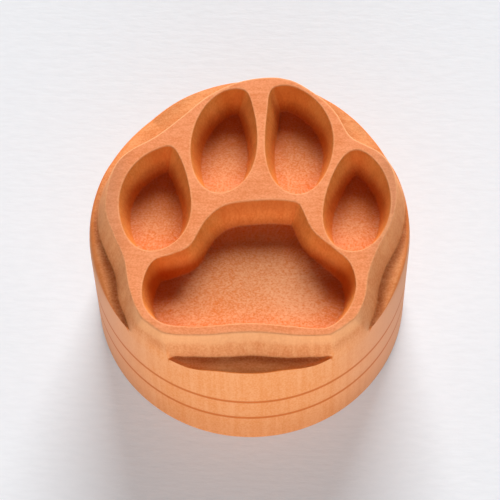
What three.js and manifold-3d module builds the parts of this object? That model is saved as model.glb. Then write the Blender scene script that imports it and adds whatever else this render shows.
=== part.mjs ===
import * as THREE from "three";
import { ParametricGeometry } from "three/addons/geometries/ParametricGeometry.js";
import { mergeVertices } from "three/addons/utils/BufferGeometryUtils.js";
import Module from "manifold-3d";

// A round hand stamp of oiled hardwood, which presses a paw print into clay. Three discs stand on one
// another and a hidden dowel keys them. Millimetres, +Z up along the block's axis, z = 0 at the underside
// and +Y towards the toes of the print.

// The stack
const BODY_RADIUS = 19;
const BASE_THICKNESS = 6.5;
const MIDDLE_THICKNESS = 4.8;
const FACE_THICKNESS = 12.3;
const FOOT_EASE = 0.4; // bevel round the underside
const SEAM_EASE = 0.2; // bevel on both sides of a seam, which shows as one fine line
const CROWN_DROP = 5.3; // how far below the face the side begins to lean in
const CROWN_LEAN = 0.5; // how far it has leaned in at the face

// The dowel on the axis
const DOWEL_RADIUS = 4;
const DOWEL_EASE = 0.5; // bevel round both of its ends
const GLUE_GAP = 0.3; // left round the dowel and over its top
const WOOD_UNDER_DOWEL = 2.5; // left in the base disc
const WOOD_OVER_DOWEL = 4; // left in the face block, under the carved floors

// The carving
const CARVE_DEPTH = 4;
const WALL_RUN = 1.15; // how far a carved wall leans out between its foot and its top
const EDGE_EASE = 0.15; // bevel along the top of every carved wall
const LEDGE_EASE = 0.15; // bevel round the ledge's outer edge
const BACK_RAMP = 7; // how far in from the back of the block the ledge begins to rise
const BACK_RISE = 1.8; // how far it has risen at the back

// The toe pockets from left to right, each an egg with its tip towards +Y. Its length leans towards +X by a
// number of degrees, its ends bow to one side and its tip hooks on past that.
const TOES = [
  { x: -11.05, y: 1.45, halfLength: 6.75, halfWidth: 4.2, taper: 0.1, lean: -2.5, bow: 0.35, hook: 0.8 },
  { x: -3.15, y: 9.45, halfLength: 7.05, halfWidth: 3.9, taper: 0.09, lean: 3.5, bow: 0.25, hook: 0.4 },
  { x: 5.7, y: 9.75, halfLength: 7.35, halfWidth: 4.05, taper: 0.04, lean: -1.5, bow: -0.9, hook: -0.65 },
  { x: 12.7, y: 1.65, halfLength: 6.65, halfWidth: 3.85, taper: 0.13, lean: 7, bow: -0.5, hook: -0.3 },
];

// Points on the pad pocket's three-lobed rim, counter-clockwise from the top
const PAD_RIM = [
  [1.5, 1.5], [-2.9, 0.7], [-4.9, -1.1], [-6.9, -4.7], [-8.8, -5.7], [-10.9, -6.6], [-12, -9.4],
  [-11.7, -12.3], [-9.9, -14.3], [-6.3, -14.9], [0.5, -14.3], [5.1, -14.6], [9.2, -14.7], [11.4, -12.8],
  [12.5, -9.6], [11.8, -6.5], [9.9, -4.6], [7.5, -2.4], [5.9, 0.4], [5, 1.2],
];

// Points on the raised face's outer edge, counter-clockwise from the top
const FACE_EDGE = [
  [2.7, 18.1], [-1.4, 17.5], [-5, 15.6], [-8.4, 12.4], [-11.3, 9.8], [-14.2, 7.9], [-15.7, 6.3],
  [-16.7, 3.3], [-16.8, -0.2], [-15.7, -3.4], [-14.4, -6.3], [-13.6, -10], [-12.5, -13], [-11.2, -14.8],
  [-8.9, -15.85], [-5.1, -16], [0.6, -15.45], [7.3, -15.85], [10.3, -15.4], [12.3, -13.7],
  [13.5, -11.1], [14, -7.7], [15, -4.7], [16.5, -1.5], [17.2, 1.4], [17.2, 4.4], [16.4, 6.7],
  [15.1, 8.2], [13.7, 9], [11.8, 10.2], [10, 13.4], [8.2, 15.4], [4.8, 17.7],
];

// Fineness of the facets
const DISC_SIDES = 96;
const DOWEL_SIDES = 36;
const TOE_SIDES = 72;
const PAD_SIDES = 128;
const FACE_SIDES = 176;
const SPARE = 2; // how far a cutting shape runs on past what it cuts

const wasm = await Module();
wasm.setup();

/** A closed geometry as a solid that can be cut and joined. */
function solidOf(geometry) {
  geometry.deleteAttribute("normal");
  geometry.deleteAttribute("uv");
  const merged = mergeVertices(geometry);
  return new wasm.Manifold(
    new wasm.Mesh({
      numProp: 3,
      vertProperties: new Float32Array(merged.attributes.position.array),
      triVerts: new Uint32Array(merged.index.array),
    }),
  );
}

/** A solid turned round the Z axis from [radius, height] pairs: from the axis, up the outside and back. */
function turned(profile, sides) {
  const points = profile.map(([radius, height]) => new THREE.Vector2(radius, height));
  return solidOf(new THREE.LatheGeometry(points, sides).rotateX(Math.PI / 2));
}

/** A round blank from z = 0 up, with its lower edge bevelled and its side leaning in over the last drop. */
function blank(radius, height, lowEase, drop, lean, sides) {
  return turned(
    [
      [0, 0],
      [radius - lowEase, 0],
      [radius, lowEase],
      [radius, height - drop],
      [radius - lean, height],
      [0, height],
    ],
    sides,
  );
}

/** The blind or open hole for the dowel, between two heights. */
function dowelHole(low, high) {
  const radius = DOWEL_RADIUS + GLUE_GAP;
  return turned([[0, low], [radius, low], [radius, high], [0, high]], DOWEL_SIDES);
}

/** A smooth closed curve through [x, y] pairs. */
function curveThrough(pairs) {
  return new THREE.CatmullRomCurve3(
    pairs.map(([x, y]) => new THREE.Vector3(x, y, 0)),
    true,
  );
}

/** The egg of one toe: its half-width follows the turn's sine, tapered, bowed and hooked by the cosine. */
class ToeRim extends THREE.Curve {
  constructor(toe) {
    super();
    this.toe = toe;
  }
  getPoint(share, target = new THREE.Vector3()) {
    const { x, y, halfLength, halfWidth, taper, lean, bow, hook } = this.toe;
    const turn = 2 * Math.PI * share;
    const tip = Math.cos(turn);
    const across = halfWidth * Math.sin(turn) * (taper * tip - 1) + bow * tip ** 2 + hook * tip ** 3;
    const along = halfLength * tip;
    const angle = THREE.MathUtils.degToRad(lean);
    return target.set(
      x + along * Math.sin(angle) + across * Math.cos(angle),
      y + along * Math.cos(angle) - across * Math.sin(angle),
      0,
    );
  }
}

/** An outline that every ray from its middle crosses once: that middle, and its points seen from there. */
function outline(curve, sides) {
  const points = curve.getSpacedPoints(sides).slice(0, sides);
  const rim = points.map(({ x, y }) => new THREE.Vector2(x, y));
  const middle = rim.reduce((sum, point) => sum.add(point), new THREE.Vector2()).divideScalar(sides);
  return { middle, rim: rim.map((point) => point.sub(middle)) };
}

/**
 * The ring of an outline grown by a margin, or shrunk by one below zero, at a height. Circles of that radius
 * stand on the rim's points, and each ray runs to the far end of the outermost, or to the near end of the
 * innermost.
 */
function ringOf({ middle, rim }, margin, height) {
  const side = Math.sign(margin);
  return rim.map((point) => {
    const ray = point.clone().normalize();
    const ends = rim
      .map((centre) => {
        const along = centre.dot(ray);
        return along + side * Math.sqrt(margin ** 2 - centre.lengthSq() + along ** 2);
      })
      .filter((end) => end > 0);
    const { x, y } = ray.multiplyScalar(side * Math.max(...ends.map((end) => side * end))).add(middle);
    return new THREE.Vector3(x, y, height);
  });
}

/** A solid through the rings of one outline, given as [margin, height] pairs from the bottom up. */
function loft(shape, levels) {
  const sides = shape.rim.length;
  const pole = (height) => shape.rim.map(() => new THREE.Vector3(shape.middle.x, shape.middle.y, height));
  const rings = [
    pole(levels[0][1]),
    ...levels.map(([margin, height]) => ringOf(shape, margin, height)),
    pole(levels.at(-1)[1]),
  ];
  const last = rings.length - 1;
  const place = (u, v, target) => target.copy(rings[Math.round(v * last)][Math.round(u * sides) % sides]);
  return solidOf(new ParametricGeometry(place, sides, last));
}

/** What a pocket takes out: a leaning wall from the carved floor up, bevelled at the rim. */
function pocket(shape) {
  const floor = FACE_THICKNESS - CARVE_DEPTH;
  const bevelFoot = (-WALL_RUN * EDGE_EASE) / CARVE_DEPTH;
  return loft(shape, [
    [-WALL_RUN, floor],
    [bevelFoot, FACE_THICKNESS - EDGE_EASE],
    [bevelFoot + EDGE_EASE, FACE_THICKNESS],
    [bevelFoot + EDGE_EASE + SPARE, FACE_THICKNESS + SPARE],
  ]);
}

/**
 * What is cut down to the ledge: everything outside the raised face and its leaning wall. Behind the toes
 * the ledge rises along a plane, which the same waste gives once it is sheared.
 */
function ledgeCut(shape) {
  const ledge = FACE_THICKNESS - CARVE_DEPTH;
  const bevelFoot = (WALL_RUN * EDGE_EASE) / CARVE_DEPTH;
  const kept = loft(shape, [
    [WALL_RUN + (WALL_RUN * SPARE) / CARVE_DEPTH, ledge - SPARE],
    [bevelFoot, FACE_THICKNESS - EDGE_EASE],
    [bevelFoot - EDGE_EASE, FACE_THICKNESS],
    [bevelFoot - EDGE_EASE - SPARE, FACE_THICKNESS + SPARE],
  ]);
  const side = BODY_RADIUS - CROWN_LEAN * Math.max(0, 1 - CARVE_DEPTH / CROWN_DROP);
  const lip = side - LEDGE_EASE;
  const reach = BODY_RADIUS + SPARE;
  const outside = ledge - (reach - lip);
  const waste = (top) =>
    turned([[0, ledge], [lip, ledge], [reach, outside], [reach, top], [0, top]], DISC_SIDES);
  const slope = BACK_RISE / BACK_RAMP;
  const level = waste(FACE_THICKNESS + SPARE / 2);
  const lean = new THREE.Matrix4()
    .makeShear(0, 0, 0, slope, 0, 0)
    .setPosition(0, 0, slope * (BACK_RAMP - BODY_RADIUS));
  const ramp = waste(FACE_THICKNESS + SPARE + 2 * slope * reach).transform(lean.elements);
  return level.intersect(ramp).subtract(kept);
}

/** The upper disc with its carved face, its underside at z = 0. */
function carvedFaceBlock() {
  const socket = FACE_THICKNESS - CARVE_DEPTH - WOOD_OVER_DOWEL;
  const face = outline(curveThrough(FACE_EDGE), FACE_SIDES);
  const pad = outline(curveThrough(PAD_RIM), PAD_SIDES);
  const toes = TOES.map((toe) => outline(new ToeRim(toe), TOE_SIDES));
  const cuts = [ledgeCut(face), ...[pad, ...toes].map(pocket), dowelHole(-SPARE, socket)];
  const whole = blank(BODY_RADIUS, FACE_THICKNESS, SEAM_EASE, CROWN_DROP, CROWN_LEAN, DISC_SIDES);
  return cuts.reduce((block, cut) => block.subtract(cut), whole);
}

/** The disc between the two seams, bored through for the dowel. */
function middleDisc() {
  const disc = blank(BODY_RADIUS, MIDDLE_THICKNESS, SEAM_EASE, SEAM_EASE, SEAM_EASE, DISC_SIDES);
  return disc.subtract(dowelHole(-SPARE, MIDDLE_THICKNESS + SPARE));
}

/** The bottom disc, with a blind socket in its top for the dowel's foot. */
function baseDisc() {
  const disc = blank(BODY_RADIUS, BASE_THICKNESS, FOOT_EASE, SEAM_EASE, SEAM_EASE, DISC_SIDES);
  return disc.subtract(dowelHole(WOOD_UNDER_DOWEL, BASE_THICKNESS + SPARE));
}

/** The dowel, standing on the floor of the base disc's socket. */
function centreDowel() {
  const inBase = BASE_THICKNESS - WOOD_UNDER_DOWEL;
  const inFace = FACE_THICKNESS - CARVE_DEPTH - WOOD_OVER_DOWEL - GLUE_GAP;
  const length = inBase + MIDDLE_THICKNESS + inFace;
  return blank(DOWEL_RADIUS, length, DOWEL_EASE, DOWEL_EASE, DOWEL_EASE, DOWEL_SIDES);
}

/** A named mesh of one solid, standing at a height on the axis. */
function piece(name, solid, height, colour, roughness) {
  const { vertProperties, triVerts } = solid.getMesh();
  const geometry = new THREE.BufferGeometry()
    .setAttribute("position", new THREE.BufferAttribute(vertProperties, 3))
    .setIndex(new THREE.BufferAttribute(triVerts, 1));
  geometry.computeVertexNormals();
  const wood = new THREE.MeshStandardMaterial({ color: colour, roughness, metalness: 0 });
  const mesh = new THREE.Mesh(geometry, wood);
  mesh.name = name;
  mesh.position.z = height;
  return mesh;
}

const stamp = new THREE.Group();
stamp.add(
  piece("base_disc", baseDisc(), 0, 0xd99564, 0.6),
  piece("middle_disc", middleDisc(), BASE_THICKNESS, 0xdf9a68, 0.6),
  piece("carved_face_block", carvedFaceBlock(), BASE_THICKNESS + MIDDLE_THICKNESS, 0xe2935f, 0.55),
  piece("centre_dowel", centreDowel(), WOOD_UNDER_DOWEL, 0xd2a679, 0.7),
);

export default stamp;
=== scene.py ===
import math

import bpy
import numpy as np
from mathutils import Matrix, Vector
from mathutils.geometry import delaunay_2d_cdt


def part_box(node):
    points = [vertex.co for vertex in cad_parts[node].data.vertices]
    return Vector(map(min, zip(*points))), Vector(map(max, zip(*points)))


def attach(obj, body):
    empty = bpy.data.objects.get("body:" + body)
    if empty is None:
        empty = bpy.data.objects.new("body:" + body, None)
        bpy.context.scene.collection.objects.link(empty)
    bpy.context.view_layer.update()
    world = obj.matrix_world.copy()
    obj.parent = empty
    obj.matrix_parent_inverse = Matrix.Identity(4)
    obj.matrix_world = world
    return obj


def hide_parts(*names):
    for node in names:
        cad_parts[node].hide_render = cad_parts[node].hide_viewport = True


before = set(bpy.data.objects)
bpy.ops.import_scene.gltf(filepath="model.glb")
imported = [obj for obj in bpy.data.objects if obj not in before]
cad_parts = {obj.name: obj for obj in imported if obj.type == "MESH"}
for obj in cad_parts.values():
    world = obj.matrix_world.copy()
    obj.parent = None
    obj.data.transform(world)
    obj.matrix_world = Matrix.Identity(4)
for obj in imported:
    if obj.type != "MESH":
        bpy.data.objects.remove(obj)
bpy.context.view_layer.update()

# Heights and radii of the block in millimetres, as the frame holds them
MM = 0.001
BODY_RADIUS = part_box("base_disc")[1].x / MM
BASE_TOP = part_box("base_disc")[1].z / MM
MIDDLE_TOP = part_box("middle_disc")[1].z / MM
FACE_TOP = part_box("carved_face_block")[1].z / MM
DOWEL_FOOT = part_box("centre_dowel")[0].z / MM
DOWEL_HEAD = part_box("centre_dowel")[1].z / MM
DOWEL_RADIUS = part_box("centre_dowel")[1].x / MM

# The uncarved block in millimetres: the glue's gap, the rounded corners and the lean of the side's crown
GLUE_GAP = 0.3
FOOT_EASE = 0.4
SEAM_EASE = 0.05
CROWN_DROP = 5.3
CROWN_LEAN = 0.5

# The carved walls in millimetres: their depth, lean and rounding. A pair, here and in the next four groups,
# is a span over which something grows from none to all
CARVE_DEPTH = 4
WALL_RUN = 1.15
FAR_LEAN = 0.25
RIM_EASE = 0.12
EDGE_EASE = 0.13
FRONT_EASE = 0.1
FRONT_EASED = 11, 15
FLOOR_EASE = 0.12
LAND_SHARE = 0.42

# The ledge in millimetres: a leaning cone at the back, and a dip on both sides of the front's middle
LEDGE_EASE = 0.15
BACK_HEADING = math.radians(81)
BACK_SLOPE = 0.35
BACK_RISE = 2.3
BACK_FALL = 0.5
FRONT_MIDDLE = 0.7
DIP_DEPTH = 1.2
DIP_ASIDE = 3, 8
DIP_FORWARD = 0.3, 0.7

# How much less the outer wall leans out beside the front's middle, at the front's ends and at the back
BESIDE_STEEP = 0.9
BESIDE_BEGIN = 2, 7
BESIDE_END = 8.5, 10.5
BESIDE_FORWARD = 11, 14.5
ENDS_STEEP = 0.35
ENDS_ASIDE = 9.5, 11.5
ENDS_FORWARD = 8, 11
BACK_STEEP = 0.6
BACK_STEEPENS = 4, 9

# The rounding of the ledge's lip in millimetres: its least, and what is added to it
LIP_LEAST = 0.02
LIP_FRONT = 0.1
LIP_FRONT_ENDS = 4, 9
LIP_FRONT_FORWARD = 0, 10
LIP_BACK = 0.23
LIP_BACK_BEGINS = -12, -5
LIP_LEFT = 0.6
LIP_RIGHT = 0.2
LIP_FLANKS = 8, 16
LIP_NARROW = 0.05
LIP_ROOM_SHARE = 0.6

# Where the outer wall runs into the side at the front: the room left for a ledge, and how the lip gives way
PINCH_ROOM = -0.05, 0.2
PINCH_FORWARD = 0.3, 0.6
PINCH_DROP = 0.5
PINCH_ROUND = 0.7
PINCH_PLAIN = 2.5, 5
LIP_FADE = 0.9
WALL_CLEAR = 0.01

# Slow waves of hand work: heights in millimetres, turns a millimetre and starts
WAVE_HEIGHT = 0.025
WAVE_ACROSS = 0.55, 0.8
WAVE_ALONG = 0.47, -0.4
RIPPLE_HEIGHT = 0.015
RIPPLE_TURNS = 1.3, -1.1

# The outlines in millimetres; a toe's lean is in degrees, and its corner in radians round the egg
TOES = (
    dict(x=-11.05, y=1.45, half_length=6.75, half_width=4.2, taper=0.1,
         lean=-2.5, bow=0.35, hook=0.8, corner=-0.2, swell=0.35),
    dict(x=-3.15, y=9.45, half_length=7.05, half_width=3.9, taper=0.09,
         lean=3.5, bow=0.25, hook=0.4, corner=-0.4, swell=0.3),
    dict(x=5.7, y=9.75, half_length=7.35, half_width=4.05, taper=0.04,
         lean=-1.5, bow=-0.9, hook=-0.65, corner=0.55, swell=0.4),
    dict(x=12.7, y=1.65, half_length=6.65, half_width=3.85, taper=0.13,
         lean=7, bow=-0.5, hook=-0.3, corner=0.1, swell=0.05),
)
CORNER_SPREAD = 0.3
PAD_RIM = (
    (1.5, 1.5), (-2.9, 0.7), (-4.9, -1.1), (-6.9, -4.7), (-8.8, -5.7), (-10.9, -6.6), (-12, -9.4),
    (-11.7, -12.3), (-9.9, -14.3), (-6.3, -14.9), (0.5, -14.3), (5.1, -14.6), (9.2, -14.7), (11.4, -12.8),
    (12.5, -9.6), (11.8, -6.5), (9.9, -4.6), (7.5, -2.4), (6.2, 0.4), (5.8, 1.1), (5.1, 1.4),
)
FACE_EDGE = (
    (2.7, 18.1), (-1.4, 17.5), (-5, 15.6), (-8.4, 12.4), (-11.3, 9.8), (-14.2, 7.9), (-15.7, 6.3),
    (-16.7, 3.3), (-16.8, -0.2), (-15.7, -3.4), (-14.4, -6.3), (-13.6, -10), (-12.5, -13), (-11.2, -14.8),
    (-8.9, -15.85), (-5.1, -16), (0.6, -15.45), (7.3, -15.85), (10.3, -15.4), (12.3, -13.7),
    (13.5, -11.1), (14, -7.7), (15, -4.7), (16.5, -1.5), (17.2, 1.4), (17.2, 4.4), (16.4, 6.7),
    (15.1, 8.2), (13.7, 9), (11.8, 10.2), (10, 13.4), (8.2, 15.4), (4.8, 17.7),
)

# What the points carry for the finish: how far the far wall's shade reaches, the marks' pitch, no rim near
TOE_SHADE = 9
PAD_SHADE = 6.7
MARK_STEP = 0.28
MARK_CORE = 2
NO_RIM = -9.0

# Fineness of the meshes
TOE_RAYS = 220
PAD_RAYS = 400
FACE_RAYS = 840
DISC_RAYS = 480
PAPER_RAYS = 96
EGG_STEPS = 4
CURVE_STEPS = 40
TURN_STEPS = 6
SLOPE_STEPS = 8
LEDGE_STEPS = 6
LIP_STEPS = 7
SEAM_STEPS = 5
FOOT_STEPS = 7
FACE_SIDE_STEPS = 24
MIDDLE_SIDE_STEPS = 12
BASE_SIDE_STEPS = 14
FLOOR_SHARES = 0.95, 0.88, 0.78, 0.66, 0.53, 0.38, 0.24, 0.11, 0
UNDERSIDE_RINGS = 4, 9, 14

# The land's triangles, in millimetres: the grid's step, the ring beside a rim and its least room, and how
# close two points count as one, with the kind of triangles that keeps to the inside of the links
LAND_STEP = 0.6
RIM_BAND = 0.3
RIM_ROOM = 0.45 * RIM_BAND
SAME_POINT = 1e-7
WITHIN_LINKS = 1


def evenly(points, count):
    """Points at even steps round a closed run of close points, by its running length."""
    loop = np.vstack([points, points[:1]])
    run = np.concatenate([[0], np.cumsum(np.linalg.norm(np.diff(loop, axis=0), axis=1))])
    want = np.linspace(0, run[-1], count, endpoint=False)
    return np.stack([np.interp(want, run, loop[:, 0]), np.interp(want, run, loop[:, 1])], axis=1)


def toe_rim(x, y, half_length, half_width, taper, lean, bow, hook, corner, swell):
    """An egg: along runs with the cosine of the turn, across with its sine, tapered, bowed and hooked by the
    cosine, with a bell-shaped swelling at its corner; then turned to its lean and set at its place."""
    turn = np.linspace(-np.pi, np.pi, TOE_RAYS * EGG_STEPS, endpoint=False)
    tip = np.cos(turn)
    bell = swell * np.exp(-(((turn - corner) / CORNER_SPREAD) ** 2))
    along = (half_length + bell) * tip
    across = (half_width * (taper * tip - 1) - bell) * np.sin(turn) + bow * tip**2 + hook * tip**3
    sine, cosine = math.sin(math.radians(lean)), math.cos(math.radians(lean))
    egg = np.stack([x + along * sine + across * cosine, y + along * cosine - across * sine], axis=1)
    return evenly(egg, TOE_RAYS)


def smooth_rim(points, count):
    """A closed cubic through the points, whose slope at each weighs the steps to its neighbours by the root
    of their length."""
    here = np.array(points, float)
    before, after, beyond = np.roll(here, 1, 0), np.roll(here, -1, 0), np.roll(here, -2, 0)
    into, onward, past = (
        np.linalg.norm(b - a, axis=1)[:, None] ** 0.5
        for a, b in ((before, here), (here, after), (after, beyond))
    )
    leave = onward * ((here - before) / into - (after - before) / (into + onward) + (after - here) / onward)
    arrive = onward * ((after - here) / onward - (beyond - here) / (onward + past) + (beyond - after) / past)
    t = np.linspace(0, 1, CURVE_STEPS, endpoint=False)[None, :, None]
    curve = (
        (2 * t**3 - 3 * t**2 + 1) * here[:, None]
        + (t**3 - 2 * t**2 + t) * leave[:, None]
        + (3 * t**2 - 2 * t**3) * after[:, None]
        + (t**3 - t**2) * arrive[:, None]
    )
    return evenly(curve.reshape(-1, 2), count)


def ring(rim, margin):
    """How far out a rim, seen from its middle, runs on each of its rays when it is grown by the ray's margin,
    or shrunk by one below zero: to the far end of the outermost circle of that radius on the rim, or to the
    near end of the innermost."""
    side = np.where(margin < 0, -1, 1)
    ray = rim / np.linalg.norm(rim, axis=1)[:, None]
    along = rim @ ray.T
    half = margin**2 - (rim**2).sum(axis=1)[:, None] + along**2
    met = (half >= 0) & (along > 0)
    ends = np.where(met, along + side * np.sqrt(np.maximum(half, 0)), -side * np.inf)
    return side * (side * ends).max(axis=0)


def nearest(spots, others):
    """How far each spot lies from the nearest of the others."""
    return np.sqrt(((spots[:, None] - others[None]) ** 2).sum(axis=-1).min(axis=1))


def inside(spots, outline):
    """Whether each spot lies in a closed outline: a ray to the right of it crosses the outline an odd number
    of times."""
    a, b = outline, np.roll(outline, -1, axis=0)
    x, y = spots[:, :1], spots[:, 1:]
    spans = (a[:, 1] > y) != (b[:, 1] > y)
    climb = np.where(a[:, 1] == b[:, 1], 1, b[:, 1] - a[:, 1])
    cross = a[:, 0] + (y - a[:, 1]) * (b[:, 0] - a[:, 0]) / climb
    return (spans & (x < cross)).sum(axis=1) % 2 == 1


def rise(value, low, high):
    """0 up to one value, 1 from another on, smooth between."""
    share = np.clip((value - low) / (high - low), 0, 1)
    return share**2 * (3 - 2 * share)


def rim_ease(rim, others, most):
    """How far from its rim a wall's rounded top begins: the most, or less where the land to the next rim is
    narrow."""
    return np.minimum(most, LAND_SHARE * nearest(rim, others))


def crown_radius(drop):
    """The side's radius at a drop below the land: the side leans in towards the top."""
    return BODY_RADIUS - CROWN_LEAN * np.maximum(0, 1 - drop / CROWN_DROP)


def ledge_drop(radius, ray):
    """How deep the ledge lies below the land at a radius on each ray from the axis: evenly, but towards the
    back it rises as a leaning cone, and on both sides of the front's middle it dips."""
    along = radius * (ray[:, 0] * math.cos(BACK_HEADING) + ray[:, 1] * math.sin(BACK_HEADING))
    inward = crown_radius(CARVE_DEPTH) - LEDGE_EASE - radius
    cone = BACK_RISE - BACK_SLOPE * (BODY_RADIUS - along) + BACK_FALL * inward
    aside = np.abs(BODY_RADIUS * ray[:, 0] - FRONT_MIDDLE)
    dip = DIP_DEPTH * rise(aside, *DIP_ASIDE) * rise(-ray[:, 1], *DIP_FORWARD)
    return CARVE_DEPTH + dip - np.maximum(0, cone)


def outer_run(edge):
    """How far the wall outside the land leans out: less beside the front's middle, at the front's ends and at
    the back."""
    x, y = edge.T
    aside = np.abs(x - FRONT_MIDDLE)
    beside = rise(aside, *BESIDE_BEGIN) * (1 - rise(aside, *BESIDE_END)) * rise(-y, *BESIDE_FORWARD)
    ends = rise(aside, *ENDS_ASIDE) * rise(-y, *ENDS_FORWARD)
    return WALL_RUN - BESIDE_STEEP * beside - ENDS_STEEP * ends - BACK_STEEP * rise(y, *BACK_STEEPENS)


def lip_ease(x, y):
    """How broadly the ledge's outer edge is rounded: finely at the front, broadly at the left."""
    front = LIP_FRONT * (1 - rise(np.abs(x), *LIP_FRONT_ENDS)) * rise(-y, *LIP_FRONT_FORWARD)
    flanks = LIP_LEFT * rise(-x, *LIP_FLANKS) + LIP_RIGHT * rise(x, *LIP_FLANKS)
    return LIP_LEAST + front + rise(y, *LIP_BACK_BEGINS) * (LIP_BACK + flanks)


def wall_steps(ease, depth, slope):
    """Distances in from the rim at which a carved wall is measured: over the rounded top in even turns, down
    the slope, and round the foot in even turns, for each ray's ease, depth and slope."""
    turn = np.linspace(0, 1, TURN_STEPS)[:, None] * slope
    top = (np.sin(turn) / np.tan(slope / 2) - 1) * ease
    foot = depth / np.tan(slope) + FLOOR_EASE * (1 - np.sin(turn[::-1]) / np.tan(slope / 2))
    share = np.linspace(0, 1, SLOPE_STEPS)[1:-1, None]
    return np.vstack([top, top[-1] + (foot[0] - top[-1]) * share, foot])


def wall_drop(inward, ease, depth, slope):
    """How far a carved wall has dropped at a distance in from its rim: along an arc tangent to the land and
    the slope, then the slope, then an arc tangent to the slope and the floor."""
    rim_round = ease / np.tan(slope / 2)
    foot_round = FLOOR_EASE / np.tan(slope / 2)
    foot = depth / np.tan(slope)
    over = rim_round - np.sqrt(np.maximum(rim_round**2 - (inward + ease) ** 2, 0))
    under = depth - foot_round + np.sqrt(np.maximum(foot_round**2 - (foot + FLOOR_EASE - inward) ** 2, 0))
    stretches = [
        inward <= -ease,
        inward < ease * np.cos(slope),
        inward < foot - FLOOR_EASE * np.cos(slope),
        inward < foot + FLOOR_EASE,
    ]
    return np.select(stretches, [0 * inward, over, inward * np.tan(slope), under], depth)


def flat_height(x, y):
    """The land's height with the slow waves that hand work leaves in a flat: a product of two sines and one
    slanting sine, a few hundredths of a millimetre deep, which never rise above the uncarved top."""
    across = np.sin(WAVE_ACROSS[0] * x + WAVE_ACROSS[1])
    along = np.sin(WAVE_ALONG[0] * y + WAVE_ALONG[1])
    ripple = np.sin(RIPPLE_TURNS[0] * x + RIPPLE_TURNS[1] * y)
    wave = WAVE_HEIGHT * across * along + RIPPLE_HEIGHT * ripple - (WAVE_HEIGHT + RIPPLE_HEIGHT)
    return FACE_TOP + wave


def strips(rows, columns):
    """Faces of a grid whose columns close on themselves, as rows of four corners."""
    row, column = np.meshgrid(np.arange(rows - 1), np.arange(columns), indexing="ij")
    after = (column + 1) % columns
    corners = np.stack([column, after, after + columns, column + columns], axis=-1)
    return (row[..., None] * columns + corners).reshape(-1, 4)


def fan(columns, first, pole):
    """Triangles from a closed row of points to a pole."""
    column = np.arange(columns)
    return np.stack([first + column, first + (column + 1) % columns, np.full(columns, pole)], axis=1)


def arc(start, end, centre, steps):
    """Points of a quarter arc between two [radius, height] points round a corner's centre."""
    turn = np.linspace(0, np.pi / 2, steps)[:, None]
    centre = np.array(centre, float)
    return centre + (np.array(start) - centre) * np.cos(turn) + (np.array(end) - centre) * np.sin(turn)


def lathe_points(profile, rays):
    """A profile of [radius, height] points carried round the axis: radius times cosine and sine of the
    turn."""
    turn = np.linspace(0, 2 * np.pi, rays, endpoint=False)
    radius, height = profile[:, 0, None], profile[:, 1, None]
    grid = np.stack([radius * np.cos(turn), radius * np.sin(turn), height + 0 * turn], axis=-1)
    return grid.reshape(-1, 3)


def mesh_piece(name, points, faces, zones, node, material):
    """A smooth mesh object from points in millimetres, with a number or a vector a point for each zone."""
    mesh = bpy.data.meshes.new(name)
    mesh.from_pydata((points * MM).tolist(), [], [face for block in faces for face in block.tolist()])
    mesh.polygons.foreach_set("use_smooth", np.ones(len(mesh.polygons), bool))
    for zone, values in zones.items():
        kind, field = ("FLOAT", "value") if values.ndim == 1 else ("FLOAT_VECTOR", "vector")
        carried = mesh.attributes.new(zone, kind, "POINT")
        carried.data.foreach_set(field, values.astype(np.float32).ravel())
    mesh.materials.append(material)
    piece = bpy.data.objects.new(name, mesh)
    bpy.context.scene.collection.objects.link(piece)
    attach(piece, "root")
    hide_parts(node)


def uncarved(count):
    """The zones of a surface that no carving reaches: far from any rim, neither in a pocket nor outside."""
    plain = {zone: np.zeros(count) for zone in ("pocket", "outer", "behind")}
    return dict(run=np.full(count, NO_RIM), mark=np.zeros((count, 3)), **plain)


def pocket_surface(outline, others, far_lean, shade):
    """A sunk pocket on rays from its middle: the wall's steps lie on the rim shrunk by each, with the far
    wall leaning more, and the floor closes in shares of the foot's reach to a pole. Its marks are the ray's
    heading wound on a drum and the way in, and behind is the way from the pocket's far end, as a share of
    the shade's reach."""
    ease = rim_ease(outline, others, RIM_EASE)
    middle = outline.mean(axis=0)
    rim = outline - middle
    reach = np.linalg.norm(rim, axis=1)
    ray = rim / reach[:, None]
    foot = WALL_RUN + far_lean * np.maximum(0, ray[:, 1]) ** 2
    slope = np.arctan2(CARVE_DEPTH, foot)
    inward = wall_steps(ease, CARVE_DEPTH, slope)
    wall = np.stack([ring(rim, -step) for step in inward])
    floor = wall[-1] * np.array(FLOOR_SHARES)[:, None]
    radius = np.vstack([wall, floor])
    run = np.vstack([inward, reach - floor])
    spot = middle + radius[..., None] * ray
    height = flat_height(spot[..., 0], spot[..., 1]) - wall_drop(run, ease, CARVE_DEPTH, slope)
    run = run - (foot - WALL_RUN) * np.clip(run / foot, 0, 1)
    wound = np.broadcast_to(reach.mean() / MARK_STEP * ray, spot.shape)
    drum = wound * np.minimum(1, radius / MARK_CORE)[..., None]
    mark = np.dstack([drum, run + middle.sum()])
    points = np.dstack([spot, height]).reshape(-1, 3)
    pole = len(points) - len(rim)
    points = points[:pole + 1]
    faces = [strips(len(radius) - 1, len(rim)), fan(len(rim), pole - len(rim), pole)]
    zones = uncarved(len(points))
    zones["run"] = run.ravel()[:pole + 1]
    zones["mark"] = mark.reshape(-1, 3)[:pole + 1]
    zones["pocket"] = np.ones(len(points))
    zones["behind"] = (outline[:, 1].max() - points[:, 1]) / shade
    return points, faces, zones


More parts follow.
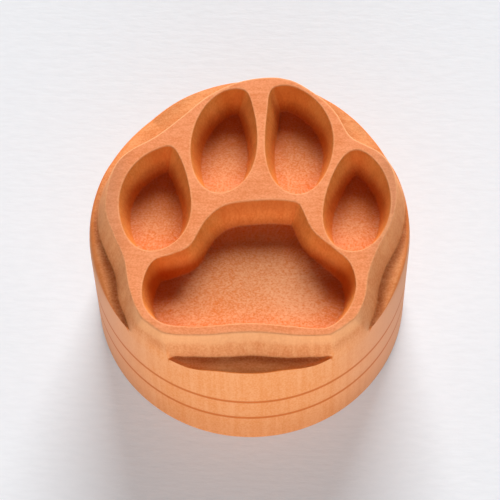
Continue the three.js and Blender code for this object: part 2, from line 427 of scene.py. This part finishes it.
def ledge_rows(edge, ray, ease):
    """Rows of the carved outside on rays from the axis: from the land's edge down the leaning wall, which
    stays within the crown, along the ledge, which rises at the back and dips at the front, and over its
    rounded lip. Gives each row's radius, drop below the land, way out from the edge and carved share."""
    room = BODY_RADIUS - WALL_RUN - np.linalg.norm(edge, axis=1)
    lip = np.minimum(lip_ease(*(BODY_RADIUS * ray.T)), np.maximum(LIP_NARROW, LIP_ROOM_SHARE * room))
    depth = ledge_drop(ring(edge, outer_run(edge)), ray)
    brink = ledge_drop(BODY_RADIUS - lip, ray)
    slope = np.arctan2(CARVE_DEPTH, outer_run(edge))
    limit = crown_radius(brink) - lip
    inward = wall_steps(ease, depth, slope)
    fall = wall_drop(inward, ease, depth, slope)
    reach = np.stack([ring(edge, step) for step in inward])
    pinch = (1 - rise(limit - reach[-1], *PINCH_ROOM)) * rise(-ray[:, 1], *PINCH_FORWARD)
    brink = brink + PINCH_DROP * pinch
    wall = np.minimum(reach, np.minimum(limit, crown_radius(fall) - lip) - WALL_CLEAR)
    share = np.linspace(0, 1, LEDGE_STEPS)[1:, None]
    ledge = wall[-1] + (limit - wall[-1]) * share
    turn = np.linspace(0, np.pi / 2, LIP_STEPS)[1:, None]
    radius = np.vstack([wall, ledge, limit + lip * np.sin(turn)])
    low_lip = brink + (lip + PINCH_ROUND * pinch) * (1 - np.cos(turn))
    drop = np.vstack([fall, depth + (brink - depth) * share, low_lip])
    run = np.vstack([
        inward * np.where(inward > 0, WALL_RUN * np.tan(slope) / depth, 1),
        WALL_RUN + FLOOR_EASE + ledge - wall[-1],
        WALL_RUN + FLOOR_EASE + limit - wall[-1] + lip * np.sin(turn),
    ])
    outer = 1 - pinch * rise(drop, *PINCH_PLAIN)
    outer[-len(turn):] *= np.linspace(LIP_FADE, 0, len(turn))[:, None]
    return radius, drop, run, outer


def outside_surface(edge, pockets):
    """The block's outside on rays from its axis: the carved rows, then down the side, under the disc and up
    into the dowel's socket to a pole."""
    ray = edge / np.linalg.norm(edge, axis=1)[:, None]
    most = EDGE_EASE + FRONT_EASE * rise(-edge[:, 1], *FRONT_EASED)
    radius, drop, run, outer = ledge_rows(edge, ray, rim_ease(edge, np.vstack(pockets), most))
    spot = radius[..., None] * ray
    height = flat_height(spot[..., 0], spot[..., 1]) - drop
    r, e, foot = BODY_RADIUS, SEAM_EASE, MIDDLE_TOP
    socket, socket_top = DOWEL_RADIUS + GLUE_GAP, DOWEL_HEAD + GLUE_GAP
    low = arc((r, foot + e), (r - e, foot), (r - e, foot + e), SEAM_STEPS)
    under = np.vstack([low[1:], [[socket, foot], [socket, socket_top], [0, socket_top]]])
    side = height[-1] + (low[0, 1] - height[-1]) * np.linspace(0, 1, FACE_SIDE_STEPS)[1:, None]
    under_height = np.broadcast_to(under[:, 1, None], (len(under), len(ray)))
    rows = np.concatenate([
        np.dstack([spot, height]),
        np.dstack([crown_radius(FACE_TOP - side)[..., None] * ray, side]),
        np.dstack([under[:, 0, None, None] * ray, under_height]),
    ])
    points = rows.reshape(-1, 3)
    pole = len(points) - len(ray)
    points = points[:pole + 1]
    faces = [strips(len(rows) - 1, len(ray))[:, ::-1], fan(len(ray), pole - len(ray), pole)[:, ::-1]]
    zones = uncarved(len(points))
    zones["run"][:run.size] = run.ravel()
    zones["outer"][:run.size] = outer.ravel()
    return points, faces, zones


def land_surface(edge, pockets, border, loops):
    """The flat land: triangles between the border's loops of points, the last of them round the edge and the
    others round the pockets, with a ring of points beside each and a square grid of points amid them."""
    span = np.arange(-BODY_RADIUS, BODY_RADIUS, LAND_STEP)
    grid = np.stack(np.meshgrid(span, span), axis=-1).reshape(-1, 2)
    beside = [edge * (ring(edge, np.full(len(edge), -RIM_BAND)) / np.linalg.norm(edge, axis=1))[:, None]]
    for outline in pockets:
        rim = outline - outline.mean(axis=0)
        grown = ring(rim, np.full(len(rim), RIM_BAND)) / np.linalg.norm(rim, axis=1)
        beside.append(outline.mean(axis=0) + rim * grown[:, None])
    spots = np.vstack([grid] + [loop[::2] for loop in beside])
    needed = np.where(np.arange(len(spots)) < len(grid), LAND_STEP, RIM_ROOM)
    sunk = np.any([inside(spots, outline) for outline in pockets], axis=0)
    spots = spots[inside(spots, border[loops[-1]]) & ~sunk & (nearest(spots, border) > needed)]
    links = np.vstack([np.stack([loop, np.roll(loop, -1)], axis=1) for loop in loops])
    corners = [Vector(spot) for spot in np.vstack([border, spots]).tolist()]
    made = delaunay_2d_cdt(corners, links.tolist(), [], WITHIN_LINKS, SAME_POINT, True)
    where, triangles = np.array(made[0]), np.array(made[2])
    source = np.array([ids[0] for ids in made[3]])
    centre = where[triangles].mean(axis=1)
    open_pocket = np.any([inside(centre, border[loop]) for loop in loops[:-1]], axis=0)
    land = inside(centre, border[loops[-1]]) & ~open_pocket
    points = np.column_stack([spots, flat_height(spots[:, 0], spots[:, 1])])
    zones = uncarved(len(points))
    zones["run"] = -nearest(spots, np.vstack([edge] + pockets))
    return points, source[triangles[land]], zones


def face_block(material):
    """The carved block: five sunk pockets, the outside, and the flat land that joins their first rings."""
    edge = smooth_rim(FACE_EDGE, FACE_RAYS)
    most = crown_radius(0) - EDGE_EASE
    edge = edge * np.minimum(1, most / np.linalg.norm(edge, axis=1)[:, None])
    pockets = [toe_rim(**toe) for toe in TOES] + [smooth_rim(PAD_RIM, PAD_RAYS)]
    fits = [(FAR_LEAN, TOE_SHADE)] * len(TOES) + [(0, PAD_SHADE)]
    patches = []
    for outline, (far_lean, shade) in zip(pockets, fits):
        others = np.vstack([edge] + [other for other in pockets if other is not outline])
        patches.append(pocket_surface(outline, others, far_lean, shade))
    patches.append(outside_surface(edge, pockets))
    first = np.cumsum([0] + [len(points) for points, _, _ in patches])
    faces = [block + start for start, (_, blocks, _) in zip(first, patches) for block in blocks]

    rays = [len(outline) for outline in pockets + [edge]]
    ring_start = np.cumsum([0] + rays)
    loops = [np.arange(count) + start for start, count in zip(ring_start, rays)]
    border = np.vstack([points[:count, :2] for (points, _, _), count in zip(patches, rays)])
    land, triangles, land_zones = land_surface(edge, pockets, border, loops)
    lookup = [np.arange(count) + start for start, count in zip(first, rays + [len(land)])]
    faces.append(np.concatenate(lookup)[triangles])
    points = np.vstack([points for points, _, _ in patches] + [land])
    zones = {zone: np.concatenate([carried[zone] for _, _, carried in patches] + [values])
             for zone, values in land_zones.items()}
    mesh_piece("carved_face", points, faces, zones, "carved_face_block", material)


def middle_disc(material):
    """The middle disc: a closed ring of profile carried round the axis, its outer corners rounded, with the
    dowel's bore."""
    bore = DOWEL_RADIUS + GLUE_GAP
    r, e = BODY_RADIUS, SEAM_EASE
    side = np.linspace(BASE_TOP + e, MIDDLE_TOP - e, MIDDLE_SIDE_STEPS)[1:-1]
    profile = np.vstack([
        [[bore, BASE_TOP]],
        arc((r - e, BASE_TOP), (r, BASE_TOP + e), (r - e, BASE_TOP + e), SEAM_STEPS),
        np.stack([np.full(len(side), r), side], axis=1),
        arc((r, MIDDLE_TOP - e), (r - e, MIDDLE_TOP), (r - e, MIDDLE_TOP - e), SEAM_STEPS),
        [[bore, MIDDLE_TOP]],
    ])
    points = lathe_points(profile, DISC_RAYS)
    faces = strips(len(profile) + 1, DISC_RAYS) % len(points)
    mesh_piece("middle_ring", points, [faces], uncarved(len(points)), "middle_disc", material)


def base_disc(material):
    """The base disc: a profile from the axis along the underside, up the side and down into the dowel's
    socket."""
    bore = DOWEL_RADIUS + GLUE_GAP
    r, e, f = BODY_RADIUS, SEAM_EASE, FOOT_EASE
    side = np.linspace(f, BASE_TOP - e, BASE_SIDE_STEPS)[1:-1]
    profile = np.vstack([
        np.stack([UNDERSIDE_RINGS, np.zeros(len(UNDERSIDE_RINGS))], axis=1),
        arc((r - f, 0), (r, f), (r - f, f), FOOT_STEPS),
        np.stack([np.full(len(side), r), side], axis=1),
        arc((r, BASE_TOP - e), (r - e, BASE_TOP), (r - e, BASE_TOP - e), SEAM_STEPS),
        [[bore, BASE_TOP], [bore, DOWEL_FOOT]],
    ])
    points = np.vstack([lathe_points(profile, DISC_RAYS), [[0, 0, 0], [0, 0, DOWEL_FOOT]]])
    last = (len(profile) - 1) * DISC_RAYS
    faces = [
        strips(len(profile), DISC_RAYS),
        fan(DISC_RAYS, 0, len(points) - 2)[:, ::-1],
        fan(DISC_RAYS, last, len(points) - 1),
    ]
    mesh_piece("base_foot", points, faces, uncarved(len(points)), "base_disc", material)


class Wire:
    """A socket's value in a material: arithmetic on wires adds Math nodes, and node adds any other node."""

    MIX_LOW, MIX_HIGH, MIX_COLOUR = 6, 7, 2

    def __init__(self, tree, socket):
        self.tree = tree
        self.socket = socket

    def node(self, kind, settings, sockets, output=0):
        """A new node with its settings, and with a wire or a constant on each of its sockets."""
        made = self.tree.nodes.new(kind)
        for key, value in settings.items():
            setattr(made, key, value)
        for key, value in sockets.items():
            if isinstance(value, Wire):
                self.tree.links.new(value.socket, made.inputs[key])
            else:
                made.inputs[key].default_value = value
        return Wire(self.tree, made.outputs[output])

    def math(self, operation, *terms):
        """A Math node on wires or numbers."""
        return self.node("ShaderNodeMath", {"operation": operation}, dict(enumerate(terms)))

    def __add__(self, other):
        return self.math("ADD", self, other)

    def __radd__(self, other):
        return self.math("ADD", other, self)

    def __sub__(self, other):
        return self.math("SUBTRACT", self, other)

    def __rsub__(self, other):
        return self.math("SUBTRACT", other, self)

    def __mul__(self, other):
        return self.math("MULTIPLY", self, other)

    def __rmul__(self, other):
        return self.math("MULTIPLY", other, self)

    def __pow__(self, other):
        return self.math("POWER", self, other)

    def __abs__(self):
        return self.math("ABSOLUTE", self)

    def zone(self, attribute, output="Fac"):
        """A number, or with the output Vector a vector, that the piece's points carry."""
        return self.node("ShaderNodeAttribute", {"attribute_name": attribute}, {}, output)

    def parts(self):
        """The three numbers of a vector."""
        return [self.node("ShaderNodeSeparateXYZ", {}, {0: self}, axis) for axis in range(3)]

    def blend(self, low, high):
        """A colour that goes from low to high as this value goes from 0 to 1."""
        settings = {"data_type": "RGBA", "clamp_factor": True}
        sockets = {0: self, self.MIX_LOW: low, self.MIX_HIGH: high}
        return self.node("ShaderNodeMix", settings, sockets, self.MIX_COLOUR)

    def ramp(self, low, high):
        """0 up to one value, 1 from another on, smooth between."""
        bounds = {"Value": self, "From Min": low, "From Max": high}
        return self.node("ShaderNodeMapRange", {"interpolation_type": "SMOOTHSTEP"}, bounds)

    def band(self, middle, half, fade):
        """1 within half a width of the middle, fading to 0 beyond it."""
        return 1 - abs(self - middle).ramp(half, half + fade)

    def noise(self, scale, stretch=(1, 1, 1), detail=3, seed=0):
        """Cloudy noise on a place in millimetres, with so many clouds a millimetre along each axis."""
        fit = {"Vector": self, "Location": (seed, seed, seed), "Scale": tuple(scale * s for s in stretch)}
        fitted = self.node("ShaderNodeMapping", {}, fit)
        return self.node("ShaderNodeTexNoise", {}, {"Vector": fitted, "Scale": 1, "Detail": detail})


def tone(red, green, blue):
    """A colour as the eye reads it, from 0 to 255 each, turned by the sRGB rule to the linear values that
    light is reckoned in."""
    share = np.array([red, green, blue]) / 255
    linear = np.where(share <= 0.04045, share / 12.92, ((share + 0.055) / 1.055) ** 2.4)
    return (*linear.tolist(), 1)


def stained(grain, tones):
    """A colour between two tones by the grain's value."""
    return grain.blend(tone(*tones[0]), tone(*tones[1]))


def tinted(wood, share, colour):
    """A wood's colour that goes to a tone by a share."""
    return share.blend(wood, tone(*colour))


def mixed_grain(noises, shares, span):
    """Three noises added by their shares and stretched over a span."""
    first, second, third = (noise * share for noise, share in zip(noises, shares))
    return (first + second + third).ramp(*span)


def new_finish(name):
    """A material with its Principled shader, and the place on the piece in millimetres."""
    material = bpy.data.materials.new(name)
    material.use_nodes = True
    tree = material.node_tree
    shader = tree.nodes["Principled BSDF"]
    coordinate = tree.nodes.new("ShaderNodeTexCoord")
    metres = Wire(tree, coordinate.outputs["Object"])
    place = metres.node("ShaderNodeVectorMath", {"operation": "SCALE"}, {0: metres, "Scale": 1 / MM})
    return material, tree, shader, place


# Tones of the wood, from the darker fibres to the paler ones, and tones of painted light and shade
LAND_TONES = (228, 127, 68), (254, 163, 112)
LAND_SHADE_SHEEN_TONES = (198, 122, 78), (220, 144, 100)
FLOOR_TONES = (236, 130, 56), (255, 190, 142)
POCKET_SHADE_TONE = 200, 88, 4
WALL_TONES = (218, 116, 50), (236, 142, 72)
FAR_WALL_TONES = (204, 100, 32), (222, 124, 50)
WALL_TOP_SHADE_TONE = 176, 78, 22
CHEEK_LIGHT_TONES = (224, 132, 58), (240, 156, 80)
OUTER_TONES = (228, 136, 78), (248, 172, 116)
OUTER_SHEEN_TONES = (240, 146, 86), (254, 174, 116)
LEDGE_TONES = (228, 134, 72), (252, 178, 120)
SIDE_TONES = (240, 148, 80), (250, 174, 120)
BASE_SHADE_TONES = (232, 142, 76), (244, 168, 116)
SIDE_SHEEN_TONE = 230, 165, 128
HIGHLIGHT_TONE = 255, 186, 130
GULLY_SHADE_TONE = 132, 54, 12
LIP_GLOW_TONE = 230, 122, 48
SEAM_TONE = 214, 108, 40
DOWEL_TONES = (206, 164, 120), (228, 192, 150)

# Noise in the wood, and the three shares and the span of each grain made of it
FLECK = dict(scale=5, stretch=(0.8, 1, 0.6), detail=2, seed=3)
ACROSS = dict(scale=1.2, stretch=(0.3, 1.8, 1), detail=3, seed=9)
FIBRE = dict(scale=4.6, stretch=(1, 1, 0.5), detail=2, seed=5)
STREAK = dict(scale=1.6, stretch=(1, 1, 0.04), detail=2, seed=7)
DRIFT = dict(scale=0.16, detail=2, seed=11)
MARKS = dict(scale=1.1, stretch=(1, 1, 0.7), detail=3)
DOWEL_FIBRE = dict(scale=3, stretch=(1, 1, 0.06))
END_GRAIN = (0.45, 0.3, 0.25), (0.28, 0.72)
FLOOR_GRAIN = (0.52, 0.28, 0.2), (0.3, 0.7)
LONG_GRAIN = (0.5, 0.35, 0.15), (0.3, 0.7)
DOWEL_SPAN = 0.3, 0.7
NOISE_MEAN = 0.5

# Where the colour and its painted light and shade change: spans from none to all, and bands as middle, half
# width and fade, in millimetres from a rim, across or along the block or out from its axis, or as shares of a
# normal or of a shade's reach
LEVEL_SPAN = 0.5, 0.9
SIDEWAYS_SPAN = 0.4, 0.9
CUT_SPAN = -0.06, 0.06
SUNK_SPAN = WALL_RUN - 0.1, WALL_RUN + 0.1
MARKS_SPAN = 2, 6
SIDE_SHEEN_SPAN = 9, 18
LAND_SHADE_SHEEN_SPAN = 13, 17
OUTER_SHEEN_SPAN = 12, 16
FAR_WALL_SPAN = 0, 14
WALL_TOP_SPAN = 0.1, 0.9 * WALL_RUN
FRONT_SPAN = -14, -11
SHADE_SPAN = 0.49, 1
GULLY_BACK_SPAN = 0, 7
BRIM_SPAN = BODY_RADIUS - 0.6, BODY_RADIUS - 0.25
BRIM_BACK_SPAN = -16, -12
CREST_SPAN = 2, 6
LIP_SPAN = WALL_RUN, WALL_RUN + 0.2
LIP_BACK_SPAN = -16, -10
BROW_HIGHLIGHT_BAND = 0.15, 0.15, 0.35
RIM_HIGHLIGHT_BAND = -0.08, 0.03, 0.12
FOOT_SHADE_BAND = WALL_RUN + 0.3, 0.4, 2
LOBES_MIDDLE = 0.4
LOBE_ACROSS_BAND = 10.4, 1, 2.2
LOBE_ALONG_BAND = -8, 0.8, 2
GULLY_BAND = WALL_RUN + 0.1, 0.15, 1.2
CREST_BAND = 0, 0.05, 0.16
SEAM_BANDS = [(top, 0.19, 0.24) for top in (BASE_TOP, MIDDLE_TOP)]

# How strongly each of them tints the wood, and by how much the grain or the place changes that
MARKS_FADE = 0.6
SIDE_SHEEN_TINT = 0.7
LAND_SHADE_SHEEN_TINT = 0.9
WALL_TOP_SHADE_TINT = 0.45
CHEEK_LIGHT_TINT = 0.85
FRONT_FADE = 0.3
BROW_HIGHLIGHT_TINT = 0.5
RIM_HIGHLIGHT_TINT = 0.25
RIM_HIGHLIGHT_EVEN = 0.5
FOOT_SHADE_TINT = 0.18
FAR_FOOT_SHADE_TINT = 0.15
SHADE_TINT = 0.5
LOBE_SHADE_TINT = 0.6
GULLY_SHADE_TINT = 0.72
GULLY_GRAIN = 0.22
GULLY_BACK_FADE = 0.6
GULLY_ON_WALL = 0.2
BRIM_GLOW_TINT = 0.8
BRIM_GRAIN = 0.5
CREST_HIGHLIGHT_TINT = 0.5
LIP_GLOW_TINT = 0.9
LIP_BACK_FADE = 0.3
SEAM_TINT = 0.85

# Sheen and relief of the wood
WOOD_ROUGH = 0.55
GRAIN_ROUGH = 0.12
CUT_ROUGH = 0.15
RIM_SMOOTH = 0.06
WOOD_SPECULAR = 0.12
WOOD_BUMP = 0.25
WOOD_RELIEF = 0.04 * MM
MARKS_RELIEF = 0.4
DOWEL_ROUGH = 0.65
DOWEL_FIBRE_ROUGH = 0.15


def oiled_wood(name):
    """Oiled close-grained hardwood whose fibres run along Z: fine flecks and faint streaks on the end grain,
    with the cutter's marks on the pockets' floors, short streaks on the walls and the side, and two warm
    seams
    round the side. Painted over them: highlights on the rims and edges, sheen on the flanks, light on
    sideways walls and towards the walls' feet, a warm glow on the ledge's lip, and shade at the feet of the
    walls, atop the pocket walls, in the pockets' far ends and lobes and low on the side."""
    material, tree, shader, place = new_finish(name)
    run, pocket, outer, behind = (place.zone(zone) for zone in ("run", "pocket", "outer", "behind"))
    x, y, height = place.parts()
    facing_x, _, facing_z = place.node("ShaderNodeNewGeometry", {}, {}, "Normal").parts()
    level = facing_z.ramp(*LEVEL_SPAN)
    cut = run.ramp(*CUT_SPAN)
    sunk = run.ramp(*SUNK_SPAN)

    kinds = FLECK, ACROSS, FIBRE, STREAK, DRIFT
    fleck, across, fibre, streak, drift = (place.noise(**kind) for kind in kinds)
    inner = MARKS_FADE * run.ramp(*MARKS_SPAN)
    marks = place.zone("mark", "Vector").noise(**MARKS) * (1 - inner) + NOISE_MEAN * inner
    end_grain = mixed_grain((fleck, across, drift), *END_GRAIN)
    floor_grain = mixed_grain((fleck, marks, drift), *FLOOR_GRAIN)
    long_grain = mixed_grain((fibre, streak, drift), *LONG_GRAIN)

    # The side darker towards the bottom: painted shade
    upward = height.ramp(0, MIDDLE_TOP)
    side_wood = upward.blend(stained(long_grain, BASE_SHADE_TONES), stained(long_grain, SIDE_TONES))
    # The side paler and greyer towards left and right: painted sheen
    side_wood = tinted(side_wood, abs(x).ramp(*SIDE_SHEEN_SPAN) * SIDE_SHEEN_TINT, SIDE_SHEEN_TONE)
    # The land darker and greyer towards left and right: painted shade and sheen
    land_shade_sheen = abs(x).ramp(*LAND_SHADE_SHEEN_SPAN) * LAND_SHADE_SHEEN_TINT
    land_wood = land_shade_sheen.blend(stained(end_grain, LAND_TONES), stained(end_grain, LAND_SHADE_SHEEN_TONES))
    wood = level.blend(side_wood, land_wood)

    far_wall = y.ramp(*FAR_WALL_SPAN)
    wall_wood = far_wall.blend(stained(long_grain, WALL_TONES), stained(long_grain, FAR_WALL_TONES))
    # The walls darker at the top and lighter towards the foot: painted shade and painted light
    wall_wood = tinted(wall_wood, WALL_TOP_SHADE_TINT * (1 - run.ramp(*WALL_TOP_SPAN)), WALL_TOP_SHADE_TONE)
    # Walls that face sideways paler: painted light
    lit_cheek = abs(facing_x).ramp(*SIDEWAYS_SPAN) * CHEEK_LIGHT_TINT
    wall_wood = lit_cheek.blend(wall_wood, stained(long_grain, CHEEK_LIGHT_TONES))
    pocket_wood = sunk.blend(wall_wood, stained(floor_grain, FLOOR_TONES))
    wood = (cut * pocket).blend(wood, pocket_wood)

    # The outer wall paler towards left and right: painted sheen
    outer_sheen = abs(x).ramp(*OUTER_SHEEN_SPAN)
    outer_wood = outer_sheen.blend(stained(long_grain, OUTER_TONES), stained(long_grain, OUTER_SHEEN_TONES))
    outer_wood = sunk.blend(outer_wood, stained(end_grain, LEDGE_TONES))
    front = outer * (1 - y.ramp(*FRONT_SPAN))
    outer_cut = run.ramp(CUT_SPAN[0], CUT_SPAN[1] + FRONT_FADE * front)
    wood = (outer_cut * outer).blend(wood, outer_wood)

    # A paler band on the front's rounded edge: painted light
    wood = tinted(wood, front * run.band(*BROW_HIGHLIGHT_BAND) * BROW_HIGHLIGHT_TINT, HIGHLIGHT_TONE)
    # A thin pale line along the rims: painted highlight
    rim = run.band(*RIM_HIGHLIGHT_BAND) * (RIM_HIGHLIGHT_EVEN + fleck) * (1 - front)
    wood = tinted(wood, rim * RIM_HIGHLIGHT_TINT, HIGHLIGHT_TONE)
    # Deep orange on the floors near the walls' feet and over each pocket's far end: painted shade
    deep = run.band(*FOOT_SHADE_BAND) * sunk * pocket
    far = 1 - behind.ramp(*SHADE_SPAN)
    wood = tinted(wood, deep * (FOOT_SHADE_TINT + FAR_FOOT_SHADE_TINT * far), POCKET_SHADE_TONE)
    wood = tinted(wood, far * sunk * pocket * SHADE_TINT, POCKET_SHADE_TONE)
    # Darker corners in the pad's two lobes: painted shade
    lobe_shade = abs(x - LOBES_MIDDLE).band(*LOBE_ACROSS_BAND) * y.band(*LOBE_ALONG_BAND) * pocket * cut
    wood = tinted(wood, lobe_shade * LOBE_SHADE_TINT, POCKET_SHADE_TONE)

    # Darker along the ledge at the outer wall's foot: painted shade
    gully_shade = run.band(*GULLY_BAND) * outer * (1 - GULLY_BACK_FADE * y.ramp(*GULLY_BACK_SPAN))
    gully_shade = gully_shade * (GULLY_ON_WALL + (1 - GULLY_ON_WALL) * sunk)
    wood = tinted(wood, gully_shade * (GULLY_SHADE_TINT - GULLY_GRAIN * end_grain), GULLY_SHADE_TONE)
    # Saturated orange along the ledge's outer edge at the front and on its rounded lip: painted glow of light
    # through the thin edge
    brim_glow = ((x * x + y * y) ** 0.5).ramp(*BRIM_SPAN) * outer * sunk
    brim_glow = brim_glow * (BRIM_GLOW_TINT - BRIM_GRAIN * end_grain) * (1 - y.ramp(*BRIM_BACK_SPAN))
    wood = tinted(wood, brim_glow, LIP_GLOW_TONE)
    # A pale line on the outer wall's top towards the back: painted highlight
    crest_highlight = run.band(*CREST_BAND) * outer * y.ramp(*CREST_SPAN)
    wood = tinted(wood, crest_highlight * CREST_HIGHLIGHT_TINT, HIGHLIGHT_TONE)
    # Four times a share times its rest is 1 where the share is a half
    lip = 4 * outer * (1 - outer) * run.ramp(*LIP_SPAN)
    wood = tinted(wood, lip * (LIP_GLOW_TINT - LIP_BACK_FADE * y.ramp(*LIP_BACK_SPAN)), LIP_GLOW_TONE)
    low_seam, high_seam = (height.band(*band) for band in SEAM_BANDS)
    wood = tinted(wood, (low_seam + high_seam) * SEAM_TINT, SEAM_TONE)
    tree.links.new(wood.socket, shader.inputs["Base Color"])

    rough = WOOD_ROUGH + GRAIN_ROUGH * long_grain + CUT_ROUGH * cut - RIM_SMOOTH * rim
    tree.links.new(rough.socket, shader.inputs["Roughness"])
    relief = fibre * (1 - level) + (fleck + marks * pocket * MARKS_RELIEF) * level
    bump = {"Strength": WOOD_BUMP, "Distance": WOOD_RELIEF, "Height": relief}
    tree.links.new(place.node("ShaderNodeBump", {}, bump).socket, shader.inputs["Normal"])
    shader.inputs["Specular IOR Level"].default_value = WOOD_SPECULAR
    return material


def plain_wood(name):
    """Unfinished dowel: pale, with fine streaks along Z."""
    material, tree, shader, place = new_finish(name)
    fibre = place.noise(**DOWEL_FIBRE)
    wood = stained(fibre.ramp(*DOWEL_SPAN), DOWEL_TONES)
    tree.links.new(wood.socket, shader.inputs["Base Color"])
    rough = DOWEL_ROUGH + DOWEL_FIBRE_ROUGH * fibre
    tree.links.new(rough.socket, shader.inputs["Roughness"])
    return material


# The paper: its tones and tooth, its glow, and how it lies under the block, with its rings in metres
PAPER_TONES = (232, 237, 242), (236, 241, 246)
PAPER_TOOTH = dict(scale=1.5, stretch=(0.3, 1, 1), detail=4)
TOOTH_SPAN = 0.25, 0.75
TOOTH_BUMP = 0.2
TOOTH_RELIEF = 0.2 * MM
PAPER_ROUGH = 0.9
PAPER_SPECULAR = 0.1
# The glow's warm tint, against the paper's bluer tones, paints a warm bounce of light into the shadow
WARM_BOUNCE_GLOW_TONE = 240, 233, 234
PAPER_GLOW = 0.28
PAPER_GAP = 0.02 * MM
PAPER_RINGS = 0.02, 0.05, 0.1, 0.25, 0.6, 1.5


def seen(tree):
    """1 for a ray that the camera sends, straight or by a mirror or glass, and 0 for a ray that gathers
    light."""
    path = tree.nodes.new("ShaderNodeLightPath")
    camera, glossy, through = (
        Wire(tree, path.outputs[f"Is {kind} Ray"]) for kind in ("Camera", "Glossy", "Transmission")
    )
    return camera.math("MAXIMUM", camera, camera.math("MAXIMUM", glossy, through))


def paper(name):
    """White paper with a faint tooth that runs across, which glows a little to the eye, so that the shadow on
    it is soft."""
    material, tree, shader, place = new_finish(name)
    tooth = place.noise(**PAPER_TOOTH)
    white = stained(tooth.ramp(*TOOTH_SPAN), PAPER_TONES)
    tree.links.new(white.socket, shader.inputs["Base Color"])
    bump = {"Strength": TOOTH_BUMP, "Distance": TOOTH_RELIEF, "Height": tooth}
    tree.links.new(place.node("ShaderNodeBump", {}, bump).socket, shader.inputs["Normal"])
    shader.inputs["Roughness"].default_value = PAPER_ROUGH
    shader.inputs["Specular IOR Level"].default_value = PAPER_SPECULAR
    glow = place.node("ShaderNodeEmission", {}, {"Color": tone(*WARM_BOUNCE_GLOW_TONE), "Strength": 1})
    lit = Wire(tree, shader.outputs[0])
    both = place.node("ShaderNodeMixShader", {}, {0: seen(tree) * PAPER_GLOW, 1: lit, 2: glow})
    tree.links.new(both.socket, tree.nodes["Material Output"].inputs["Surface"])
    return material


def add_floor(material):
    """A round sheet of paper just under the block: rings of growing radius round the axis."""
    level = np.full(len(PAPER_RINGS), -PAPER_GAP)
    rings = lathe_points(np.stack([PAPER_RINGS, level], axis=1), PAPER_RAYS)
    points = np.vstack([rings, [[0, 0, -PAPER_GAP]]])
    sheet = strips(len(PAPER_RINGS), PAPER_RAYS)[:, ::-1].tolist()
    faces = sheet + fan(PAPER_RAYS, 0, len(points) - 1).tolist()
    mesh = bpy.data.meshes.new("paper_floor")
    mesh.from_pydata(points.tolist(), [], faces)
    mesh.materials.append(material)
    floor = bpy.data.objects.new("paper_floor", mesh)
    bpy.context.scene.collection.objects.link(floor)


# The camera, as the photograph was taken: turned a little from the paw's own axis and rolled
VIEW_TURN = math.radians(2.7)
VIEW_ELEVATION = math.radians(63.736)
VIEW_ROLL = math.radians(-1.5)
VIEW_DISTANCE = 304 * MM
VIEW_AIM = Vector((0, 6.58 * MM, 0))
LENS = 172.81
SENSOR_WIDTH = 36
NEAREST_SEEN = 10 * MM


def add_camera():
    """A camera at the end of a line of sight from the aim point, whose own axes are turned by the roll."""
    turn = Matrix.Rotation(VIEW_TURN, 3, "Z")
    back = turn @ Vector((0, -math.cos(VIEW_ELEVATION), math.sin(VIEW_ELEVATION)))
    right = turn @ Vector((1, 0, 0))
    up = back.cross(right)
    rolled_right = math.cos(VIEW_ROLL) * right + math.sin(VIEW_ROLL) * up
    rolled_up = math.cos(VIEW_ROLL) * up - math.sin(VIEW_ROLL) * right
    camera = bpy.data.objects.new("camera", bpy.data.cameras.new("camera"))
    bpy.context.scene.collection.objects.link(camera)
    camera.data.lens = LENS
    camera.data.sensor_width = SENSOR_WIDTH
    camera.data.clip_start = NEAREST_SEEN
    axes = Matrix((rolled_right, rolled_up, back)).transposed()
    camera.matrix_world = Matrix.Translation(turn @ VIEW_AIM + VIEW_DISTANCE * back) @ axes.to_4x4()
    bpy.context.scene.camera = camera


# The light: a broad lamp behind, a white board in front and a dim room, in degrees, metres and watts
KEY_LAMP = dict(azimuth=4, elevation=31.5, distance=1.5, width=0.8, height=0.8, power=35.6)
FRONT_BOARD = dict(azimuth=180, elevation=16, distance=0.6, width=0.9, height=0.1, power=3)
ROOM_GLOW = 0.07
BACKDROP = 0.88


def add_lamp(name, azimuth, elevation, distance, width, height, power):
    """A soft rectangular lamp on the far end of a line from the block, facing it. Azimuth 0 is towards +Y,
    and it grows towards +X."""
    turn, tilt = math.radians(azimuth), math.radians(elevation)
    away = Vector((math.sin(turn) * math.cos(tilt), math.cos(turn) * math.cos(tilt), math.sin(tilt)))
    lamp = bpy.data.lights.new(name, "AREA")
    lamp.shape = "RECTANGLE"
    lamp.size = width
    lamp.size_y = height
    lamp.energy = power
    holder = bpy.data.objects.new(name, lamp)
    bpy.context.scene.collection.objects.link(holder)
    facing = away.to_track_quat("Z", "Y").to_matrix().to_4x4()
    holder.matrix_world = Matrix.Translation(away * distance) @ facing


def add_sky():
    """A dim even room, with a pale backdrop where the camera looks past the paper."""
    world = bpy.data.worlds.new("studio")
    bpy.context.scene.world = world
    world.use_nodes = True
    tree = world.node_tree
    room, backdrop = ((grey, grey, grey, 1) for grey in (ROOM_GLOW, BACKDROP))
    tree.links.new(seen(tree).blend(room, backdrop).socket, tree.nodes["Background"].inputs["Color"])


add_camera()
block_wood = oiled_wood("oiled_wood")
face_block(block_wood)
middle_disc(block_wood)
base_disc(block_wood)
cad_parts["centre_dowel"].data.materials.clear()
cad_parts["centre_dowel"].data.materials.append(plain_wood("dowel_wood"))
add_floor(paper("paper"))
add_sky()
add_lamp("key_behind", **KEY_LAMP)
add_lamp("board_front", **FRONT_BOARD)
bpy.context.scene.view_settings.view_transform = "Standard"
